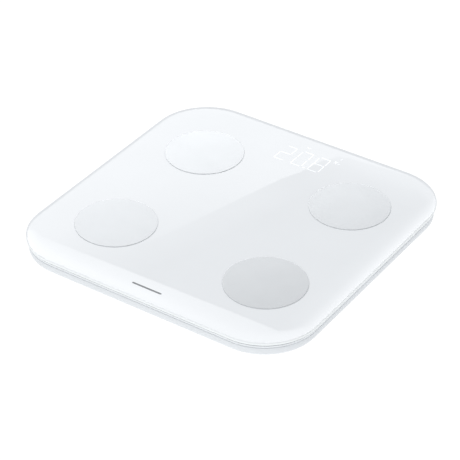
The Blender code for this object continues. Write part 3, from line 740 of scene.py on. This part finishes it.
def cut_battery_space(made):
    """The space for the cells, the cover's recess and the two slots for its tabs."""
    below = BASE_LOW.z - CLEAR
    space = bmesh.new()
    add_box(space, (-25.5 * MM, TUB_Y - 21.8 * MM, below), (25.5 * MM, TUB_Y + 21.8 * MM, 17 * MM))
    cut(made, space)
    recess = bmesh.new()
    edge = 0.35 * MM
    rings = []
    for grow, z in ((edge, below), (edge, BASE_LOW.z), (0, BASE_LOW.z + edge), (0, COVER_TOP_Z + GAP)):
        half_x, half_y = (h + GAP + grow for h in COVER_HALF)
        rings.append((rounded_rectangle(half_x, half_y, COVER_CORNER + grow, 8, (0, TUB_Y)), z))
    add_loft(recess, rings)
    cut(made, recess)
    slots = bmesh.new()
    near, far = COVER_FRONT - 3.6 * MM, COVER_FRONT + 4 * MM
    for x in HINGE_X:
        add_box(slots, (x - 4.6 * MM, near, 4.9 * MM), (x + 4.6 * MM, far, 8.4 * MM))
    cut(made, slots)


def chamfered_mouth(radius, depth_z):
    """The side profile of a round opening in the floor, up to depth_z, with a chamfer at its mouth."""
    floor, below, wide = BASE_LOW.z, BASE_LOW.z - CLEAR, radius + MOUTH_EDGE
    return [(0, below), (wide, below), (wide, floor), (radius, floor + MOUTH_EDGE), (radius, depth_z)]


def cut_base_openings(made):
    """The foot wells, lead notches, screw counterbores, button hole and finger notch."""
    floor, below = BASE_LOW.z, BASE_LOW.z - CLEAR
    mouths = bmesh.new()
    for corner, (sx, _) in CORNERS.items():
        x, y = foot_centre(corner)
        add_lathe(mouths, chamfered_mouth(18.2 * MM, 7 * MM) + [(0, 7 * MM)], (x, y), 96)
        x = x - sx * 20.2 * MM
        add_box(mouths, (x - 2.5 * MM, y - 2 * MM, 9 * MM), (x + 2.5 * MM, y + 2 * MM, 14 * MM))
    hole = in_mm((1.8, 6.4), (1.8, 12.5), (0, 12.5))
    for name in SCREW_NAMES:
        add_lathe(mouths, chamfered_mouth(3.3 * MM, 6.4 * MM) + hole, centre_of(name), 40)
    button_hole = chamfered_mouth(4.3 * MM, 7 * MM) + [(0, 7 * MM)]
    add_lathe(mouths, button_hole, centre_of("mode_button"), 48)
    finger = []
    for half_x, half_y, z in (
        (9.6, 5.1, below), (9.6, 5.1, floor), (9.0, 4.5, floor + 0.6 * MM), (8.4, 3.9, 6.2 * MM)
    ):
        outline = rounded_rectangle(half_x * MM, half_y * MM, 3.6 * MM, 8, (0, 23 * MM))
        finger.append((outline, z))
    add_loft(mouths, finger)
    for y in (TUB_Y - 16.2 * MM, TUB_Y + 16.2 * MM):
        add_box(mouths, (25 * MM, y - 1.8 * MM, 12.2 * MM), (28 * MM, y + 1.8 * MM, 14.3 * MM))
    cut(made, mouths)


# The underside


def build_feet():
    """Carriers with a rounded lip, and rubber pads with ring grooves to grip the floor."""
    lip = smooth_profile(in_mm((15.9, 1.55), (16.3, 1.42), (16.9, 1.5), (17.3, 1.75), (17.4, 2.1)), 3)
    profile = in_mm((0, 2.6), (15.9, 2.6)) + lip + in_mm((17.4, 6.3), (19.4, 6.3), (19.4, 7.2))
    pin = in_mm((4.2, 7.2), (4.2, 8.6), (2.0, 8.6), (2.0, 11.2), (1.8, 11.4), (0, 11.4))
    pad = in_mm((0, 0.35), (2.6, 0.35), (3.0, 0.0), (4.6, 0.0), (5.0, 0.35))
    pad += in_mm((6.4, 0.35), (6.8, 0.0), (8.4, 0.0), (8.8, 0.35), (10.2, 0.35), (10.6, 0.0))
    pad += in_mm((14.4, 0.0), (14.9, 0.12), (15.3, 0.5), (15.4, 0.9), (15.4, 2.3), (0, 2.3))
    for corner in CORNERS:
        bm = bmesh.new()
        add_lathe(bm, profile + pin, foot_centre(corner))
        body = f"foot_{corner}"
        piece(f"foot_cup_{corner}", bm, PLASTIC, body, ["foot_carrier_" + corner])
        bm = bmesh.new()
        add_lathe(bm, pad, foot_centre(corner))
        piece(f"foot_rubber_{corner}", bm, RUBBER, body, ["foot_pad_" + corner])


def plus_shape(centre, arm, half, size=1.0):
    """The outline of a plus sign, clockwise."""
    x, y = centre
    points = [
        (half, arm), (half, half), (arm, half), (arm, -half), (half, -half), (half, -arm),
        (-half, -arm), (-half, -half), (-arm, -half), (-arm, half), (-half, half), (-half, arm),
    ]
    return [(x + px * size, y + py * size) for px, py in points]


def build_screws():
    """Pan-head screws with a cross recess and a threaded shank."""
    for name in SCREW_NAMES:
        low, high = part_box(name)
        centre = centre_of(name)
        dome = [(0.01, 0.0), (1.6, 0.12), (2.9, 0.8)]
        head = smooth_profile([(r * MM, low.z + up * MM) for r, up in dome], 4)
        head += [(2.9 * MM, low.z + 1.6 * MM)]
        thread, z, outside = [], low.z + 2.4 * MM, False
        while z < high.z - 1.4 * MM:
            thread.append(((1.3 if outside else 1.05) * MM, z))
            outside = not outside
            z += 0.45 * MM
        bm = bmesh.new()
        shank = [(1.1 * MM, low.z + 1.6 * MM)] + thread
        add_lathe(bm, [(0, low.z)] + head[1:] + shank + [(0, high.z)], centre, 32)
        made = piece(name + "_cross", bm, ZINC, replaces=[name])
        cross = bmesh.new()
        wide = plus_shape(centre, 1.55 * MM, 0.3 * MM)
        narrow = plus_shape(centre, 1.55 * MM, 0.3 * MM, 0.55)
        add_loft(cross, [(wide, low.z - CLEAR), (wide, low.z), (narrow, low.z + 0.9 * MM)])
        cut(made, cross)


def build_battery_cover():
    """The cover, with chamfered edges, two tabs, a latch tongue between slits and four grip grooves."""
    low_z, top_z = COVER_LOW.z, COVER_TOP_Z
    edge = 0.3 * MM
    rings = []
    for inset, z in ((edge, low_z), (0, low_z + edge), (0, top_z - 0.1 * MM), (0.1 * MM, top_z)):
        half_x, half_y = (half - inset for half in COVER_HALF)
        rings.append((rounded_rectangle(half_x, half_y, COVER_CORNER, 8, (0, TUB_Y)), z))
    bm = bmesh.new()
    add_loft(bm, rings)
    made = piece("battery_door", bm, PLASTIC, "battery_cover", ["battery_cover"])
    tabs = bmesh.new()
    near, far = COVER_FRONT - 2.9 * MM, COVER_FRONT + 3 * MM
    for x in HINGE_X:
        add_box(tabs, (x - 4 * MM, near, low_z + 1.2 * MM), (x + 4 * MM, far, low_z + 2.1 * MM))
    cut(made, tabs, "UNION")
    slits = bmesh.new()
    near, far = COVER_REAR - 9 * MM, COVER_REAR + CLEAR
    for x in (-6.5 * MM, 6.5 * MM):
        add_box(slits, (x - 0.5 * MM, near, low_z - CLEAR), (x + 0.5 * MM, far, top_z + CLEAR))
    for n in range(4):
        y = COVER_REAR - (1.6 + 1.3 * n) * MM
        add_box(slits, (-5 * MM, y - 0.25 * MM, low_z - CLEAR), (5 * MM, y + 0.25 * MM, low_z + 0.3 * MM))
    cut(made, slits)


def build_button():
    """The round button, with a dished face."""
    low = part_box("mode_button")[0]
    dish = [(3.2 * MM * i / 8, low.z + 0.25 * MM * (1 - (i / 8) ** 2)) for i in range(9)]
    edge = in_mm((3.6, 4.43), (3.9, 4.6), (4.0, 4.9), (4.0, 6.3), (5.4, 6.3), (5.4, 6.9), (0, 6.9))
    bm = bmesh.new()
    add_lathe(bm, dish + edge, centre_of("mode_button"), 64)
    piece("mode_button_cap", bm, BUTTON, "mode_button", ["mode_button"])


def build_batteries():
    """AAA cells with a raised button at one end and a flat, dished other end."""
    half = 22.25 * MM
    profile = [(0, -half + 0.15 * MM), (3.4 * MM, -half + 0.15 * MM), (3.7 * MM, -half), (4.8 * MM, -half)]
    profile += [(5.15 * MM, -half + 0.35 * MM), (5.15 * MM, half - 1.7 * MM), (4.9 * MM, half - 1.35 * MM)]
    profile += [(4.3 * MM, half - 1.25 * MM), (1.9 * MM, half - 1.2 * MM), (1.9 * MM, half - 0.2 * MM)]
    profile += [(1.7 * MM, half), (0, half)]
    for n in range(4):
        name = f"battery_{n + 1}"
        low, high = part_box(name)
        bm = bmesh.new()
        add_lathe(bm, profile, steps=48)
        piece(
            name + "_cell", bm, BATTERY, replaces=[name],
            place=(low + high) / 2, turn=(0, (-1 if n % 2 == 0 else 1) * math.pi / 2, 0),
        )


def build_springs():
    """A conical coil and its plate for each sprung contact."""
    for name, side, y in (
        ("contact_bridge_front", -1, TUB_Y - 5.4 * MM),
        ("contact_bridge_rear", -1, TUB_Y + 16.2 * MM),
        ("contact_bridge_middle", 1, TUB_Y + 5.4 * MM),
        ("contact_negative", 1, TUB_Y - 16.2 * MM),
    ):
        low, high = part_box(name)
        outer = side * 25.2 * MM
        inner = outer - side * 0.5 * MM
        bm = bmesh.new()
        plate_low = (min(inner, outer), low.y, low.z)
        plate_high = (max(inner, outer), high.y, high.z)
        add_soft_box(bm, plate_low, plate_high, 0.08 * MM)
        if name == "contact_negative":
            tab_low, tab_high = (25.0 * MM, y - 1.4 * MM, 12.5 * MM), (high.x, y + 1.4 * MM, 14 * MM)
            add_soft_box(bm, tab_low, tab_high, 0.1 * MM)
        points = []
        for i in range(73):
            share = i / 72
            angle = 2 * math.pi * 3 * share
            radius = (3.6 - 1.4 * share) * MM
            reach = (0.35 + 3.5 * share) * MM
            up = 11.1 * MM + radius * math.sin(angle)
            points.append(Vector((inner - side * reach, y + radius * math.cos(angle), up)))
        add_tube(bm, points, 0.3 * MM, 8)
        piece(name + "_spring", bm, NICKEL, replaces=[name])


def build_board_parts():
    """Small parts on the board: a row and a column of capacitors, and solder lands."""
    top = 13.0 * MM
    parts = bmesh.new()
    for n in range(7):
        x = (-34 + 3.1 * n) * MM
        add_soft_box(parts, (x, 90.4 * MM, top), (x + 1.6 * MM, 91.3 * MM, top + 0.7 * MM), 0.12 * MM)
    for n in range(5):
        y = (89.6 + 1.5 * n) * MM
        add_soft_box(parts, (24.5 * MM, y, top), (26.2 * MM, y + 0.85 * MM, top + 0.6 * MM), 0.12 * MM)
    piece("board_capacitors", parts, BLACK)
    lands = bmesh.new()
    land = [(0, top), (0.9 * MM, top), (0.7 * MM, top + 0.35 * MM), (0, top + 0.5 * MM)]
    for n in range(8):
        add_lathe(lands, land, ((30 + 2.2 * n - 1.0) * MM, 95.6 * MM), 16)
    piece("board_solder", lands, NICKEL)


def finish_cad_nodes():
    """Gives the CAD nodes that stay visible their detailed materials."""
    looks = {
        "glass_tape": FOAM,
        "main_board": CIRCUIT,
        "display_light_guide": GUIDE,
        "display_diffuser": FILM,
        "push_switch": BLACK,
        "contact_positive": NICKEL,
        "battery_lead_negative": LEADS["black"],
        "battery_lead_positive": LEADS["red"],
    }
    for corner in CORNERS:
        looks["load_cell_" + corner] = CELL_STEEL
        looks["cell_bracket_" + corner] = PLASTIC
        looks["electrode_nut_" + corner] = ZINC
        looks["cell_lead_" + corner] = LEADS["red"]
        looks["electrode_lead_" + corner] = LEADS["white"]
    for name, look in looks.items():
        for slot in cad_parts[name].material_slots:
            slot.material = look


# Light, floor and camera


WORLD_STRENGTH = 0.6
CAMERA_PLACE = Vector((0.8222, -1.2227, 1.0506))
CAMERA_TARGET = Vector((-0.00801, 0.00589, -0.0005))
FOCAL_LENGTH = 154.2
SENSOR_WIDTH = 36


def build_floor():
    """A plain white floor that is clear from below, so the underside can be seen."""
    bm = bmesh.new()
    bm.faces.new([bm.verts.new((x, y, -0.2 * MM)) for x, y in circle(6.0, 64)])
    made = add_object("floor", mesh_from(bm, "floor"))
    look, shader = new_material("floor_white", (0.06, 0.06, 0.06), 0.9, Emission_Strength=1.0)
    shader.inputs["Emission Color"].default_value = (1, 1, 1, 1)
    below = node(look, "ShaderNodeNewGeometry").outputs["Backfacing"]
    mix = node(look, "ShaderNodeMixShader")
    link(look, below, mix.inputs[0])
    link(look, shader.outputs["BSDF"], mix.inputs[1])
    link(look, node(look, "ShaderNodeBsdfTransparent").outputs["BSDF"], mix.inputs[2])
    link(look, mix.outputs["Shader"], look.node_tree.nodes["Material Output"].inputs["Surface"])
    made.data.materials.append(look)


def build_world():
    """Even, slightly cool light from all round."""
    world = bpy.data.worlds.new("studio")
    world.use_nodes = True
    background = world.node_tree.nodes["Background"].inputs
    background["Color"].default_value = (0.97, 0.985, 1.0, 1)
    background["Strength"].default_value = WORLD_STRENGTH
    bpy.context.scene.world = world


def look_along(direction):
    """The turn that points a light or camera along a direction."""
    return direction.to_track_quat("-Z", "Y").to_euler()


def soft_light(name, place, size, watts):
    """A rectangular soft light that points at the scale and doesn't show in reflections."""
    data = bpy.data.lights.new(name, "AREA")
    data.shape = "RECTANGLE"
    data.size, data.size_y = size
    data.energy = watts
    made = add_object(name, data)
    made.location = place
    made.rotation_euler = look_along(-Vector(place))
    made.visible_camera = False
    made.visible_glossy = False


# The studio ceiling that the glass mirrors. Places on it are given by the points of the glass, in
# millimetres, where the camera sees them mirrored.
CEILING_HEIGHT = 1.5
CEILING_X = (-700, 1100)
CEILING_Y = (-900, 900)
EDGE_SLOPE = 0.2796
EDGE_X = -16.2


def stepped(look, value, *stops):
    """A level that runs in straight lines through (value, level) stops, and stays level beyond them."""
    total = stops[0][1]
    for (a, low), (b, high) in zip(stops, stops[1:]):
        span = node(look, "ShaderNodeMapRange", From_Min=a, From_Max=b, To_Min=0, To_Max=high - low)
        link(look, value, span.inputs["Value"])
        total = maths(look, "ADD", total, span.outputs["Result"])
    return total


def ceiling_glow(look, x, y):
    """How bright the ceiling is: a soft panel at the left with a hard edge, a band in front, and glows."""
    slope = maths(look, "MULTIPLY", y, EDGE_SLOPE)
    across = maths(look, "SUBTRACT", maths(look, "SUBTRACT", x, slope), EDGE_X)
    near_edge = stepped(look, y, (-115, 0.42), (100, 1.4))
    fade = stepped(look, across, (-75, 0), (0, 1))
    far = stepped(look, x, (-140, 1.45), (-100, 1.33))
    rise_to_edge = maths(look, "MULTIPLY", maths(look, "SUBTRACT", near_edge, far), fade)
    panel = maths(look, "ADD", rise_to_edge, far)
    panel = maths(look, "MULTIPLY", panel, stepped(look, across, (-0.5, 1), (0.5, 0)))
    spill = stepped(look, across, (0, 0.42), (16, 0.3), (38, 0))
    spill = maths(look, "MULTIPLY", spill, stepped(look, y, (20, 1), (95, 0.1)))
    back = stepped(look, y, (70, 0), (100, 0.2), (120, 0.4), (145, 0.85), (260, 1.0))
    right = stepped(
        look, x, (128, 0), (146, 0.4), (164, 0.8), (190, 1.25), (236, 1.95), (330, 2.7), (480, 3.2)
    )
    front = stepped(look, y, (-500, 3.3), (-200, 2.6), (-150, 2.15), (-128.5, 1.5), (-128.1, 0))
    front = maths(look, "MULTIPLY", front, stepped(look, x, (-150, 1.12), (150, 0.85)))
    beside = maths(look, "MAXIMUM", panel, maths(look, "ADD", spill, back))
    glow = maths(look, "MAXIMUM", maths(look, "MAXIMUM", beside, right), front)
    glow = maths(look, "ADD", glow, WORLD_STRENGTH)
    for level in (
        stepped(look, x, (-350, 0), (-270, 1)),
        stepped(look, x, (640, 1), (760, 0.3)),
        stepped(look, y, (-880, 0), (-800, 1)),
        stepped(look, y, (290, 1), (360, 0)),
    ):
        glow = maths(look, "MULTIPLY", glow, level)
    return glow


def build_card(name, corners, strength, place=(0, 0, 0), size=1.0, clear=False):
    """A glowing card that shows only in reflections, see-through if clear.

    strength is a number, or a function that makes a node output from x and y.
    """
    bm = bmesh.new()
    bm.faces.new([bm.verts.new(corner) for corner in corners])
    made = add_object(name, mesh_from(bm, name))
    made.location = place
    made.scale = (size, size, 1)
    look = bpy.data.materials.new(name)
    look.use_nodes = True
    look.cycles.emission_sampling = "NONE"
    look.node_tree.nodes.clear()
    glow = node(look, "ShaderNodeEmission")
    if callable(strength):
        axes = object_axes(look)
        x, y = (maths(look, "DIVIDE", axes[axis], MM) for axis in "XY")
        link(look, strength(look, x, y), glow.inputs["Strength"])
    else:
        glow.inputs["Strength"].default_value = strength
    out = node(look, "ShaderNodeOutputMaterial")
    if clear:
        both = node(look, "ShaderNodeAddShader")
        link(look, glow.outputs["Emission"], both.inputs[0])
        link(look, node(look, "ShaderNodeBsdfTransparent").outputs["BSDF"], both.inputs[1])
        link(look, both.outputs["Shader"], out.inputs["Surface"])
    else:
        link(look, glow.outputs["Emission"], out.inputs["Surface"])
    made.data.materials.append(look)
    made.visible_camera = False
    made.visible_diffuse = False
    made.visible_shadow = False
    made.visible_transmission = False
    return made


def disc_glow(look, x, y):
    """What the satin discs mirror: brightest beyond the rear left corner, and again behind each disc."""
    slope = maths(look, "SUBTRACT", maths(look, "MULTIPLY", y, 0.6), x)
    glow = stepped(
        look, slope, (-280, 0.16), (-123, 0.89), (-39, 1.18), (39, 1.35), (123, 1.56), (300, 2.08)
    )
    right = stepped(look, x, (-125.8, 45), (-35.8, -45), (35.8, 45), (125.8, -45))
    back = stepped(look, y, (-115.4, -45), (-25.4, 45), (25.4, -45), (115.4, 45))
    both = maths(look, "ADD", right, back)
    local = maths(look, "MULTIPLY", both, stepped(look, y, (-2, 0.0008), (2, 0.0038)))
    return maths(look, "ADD", glow, local)


def shine_on(card, pieces, state):
    """Limits a card to some pieces, or keeps it off them."""
    group = bpy.data.collections.new(card.name + "_receivers")
    for made in pieces:
        group.objects.link(made)
    for entry in group.collection_objects:
        entry.light_linking.link_state = state
    card.light_linking.receiver_collection = group


def build_cards():
    """A ceiling for the glass to mirror, one for the discs, and a bright card in front for the rest."""
    stretch = (CEILING_HEIGHT + CAMERA_PLACE.z - 2 * TOP_Z) / (CAMERA_PLACE.z - TOP_Z)
    place = (CAMERA_PLACE.x * (1 - stretch), CAMERA_PLACE.y * (1 - stretch), CEILING_HEIGHT)
    picks = ((0, 0), (1, 0), (1, 1), (0, 1))
    corners = [(CEILING_X[i] * MM, CEILING_Y[j] * MM, 0) for i, j in picks]
    discs = [bpy.data.objects["electrode_" + corner + "_disc"] for corner in CORNERS]
    shine_on(build_card("ceiling", corners, ceiling_glow, place, stretch), discs, "EXCLUDE")
    place = (place[0], place[1], CEILING_HEIGHT - 1 * MM)
    shine_on(build_card("disc_ceiling", corners, disc_glow, place, stretch, clear=True), discs, "INCLUDE")
    front = [(-3, -3, 0), (3, -3, 0), (3, -3, 1.3), (-3, -3, 1.3)]
    glass = [bpy.data.objects["glass_top"]]
    front_card = build_card("front_card", front, 3.4, clear=True)
    front_card.data.materials[0].cycles.emission_sampling = "FRONT_BACK"
    shine_on(front_card, discs + glass, "EXCLUDE")


def build_lights():
    """A large light above and behind, and a weak one low in front."""
    soft_light("key_light", (-0.6, 0.5, 2.2), (2.4, 2.4), 28)
    soft_light("front_fill", (0.5, -2.3, 0.55), (2.4, 0.9), 8)


def build_camera():
    """A long lens, high in front and to the right."""
    data = bpy.data.cameras.new("camera")
    data.lens = FOCAL_LENGTH
    data.sensor_width = SENSOR_WIDTH
    made = add_object("camera", data)
    made.location = CAMERA_PLACE
    made.rotation_euler = look_along(CAMERA_TARGET - CAMERA_PLACE)
    bpy.context.scene.camera = made


def main():
    """Builds every piece, then the floor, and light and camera."""
    bpy.context.scene.view_settings.view_transform = "Standard"
    build_glass()
    build_electrodes()
    build_display()
    build_mark()
    build_tray()
    build_base()
    build_feet()
    build_screws()
    build_battery_cover()
    build_button()
    build_batteries()
    build_springs()
    build_board_parts()
    finish_cad_nodes()
    build_floor()
    build_world()
    build_lights()
    build_cards()
    build_camera()
    bpy.context.view_layer.update()


main()
